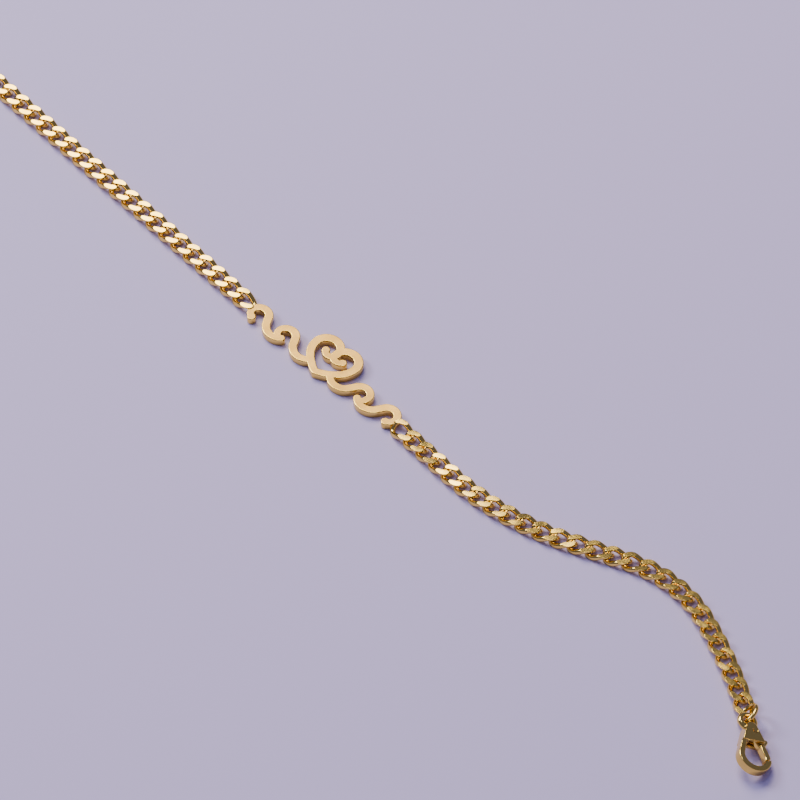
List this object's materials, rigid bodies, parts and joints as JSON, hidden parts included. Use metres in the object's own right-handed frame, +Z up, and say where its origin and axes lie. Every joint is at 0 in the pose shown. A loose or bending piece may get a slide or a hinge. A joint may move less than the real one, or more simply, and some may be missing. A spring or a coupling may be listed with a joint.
{
  "type": "nameplate bracelet",
  "caption": "Open wrist bracelet: a pierced scroll nameplate soldered between two flat curb chains, closed by a sprung lobster clasp that hooks onto a catch ring.",
  "frame": {"origin": "on the plate's back face, at the tip of the scroll heart in the plate's middle", "axes": "+X runs along the plate towards the clasp, +Y across the plate to the heart's lobes, +Z up out of the plate's face, square to the surface that the bracelet lies on"},
  "size_m": [0.1731, 0.017, 0.0032],
  "materials": {
    "satin_gold": "satin, finely brushed, with polished edges",
    "polished_gold": "polished yellow gold plate with diamond-cut flats"
  },
  "bodies": {
    "bracelet": {"nameplate": "satin_gold", "chain_left": "polished_gold", "chain_right": "polished_gold", "clasp_ring": "polished_gold", "clasp_body": "polished_gold", "clasp_pin": "polished_gold", "end_ring": "polished_gold"},
    "lever": {"clasp_lever": "polished_gold"}
  },
  "joints": [
    {"name": "lever_swing", "type": "hinge", "parent": "bracelet", "child": "lever", "pos_m": [0.08172, -0.0027, 0.00146], "axis": [-0.2927, -0.3474, -0.8909], "range_deg": [0, 26], "stiffness_Nm_per_rad": 0.004}
  ]
}
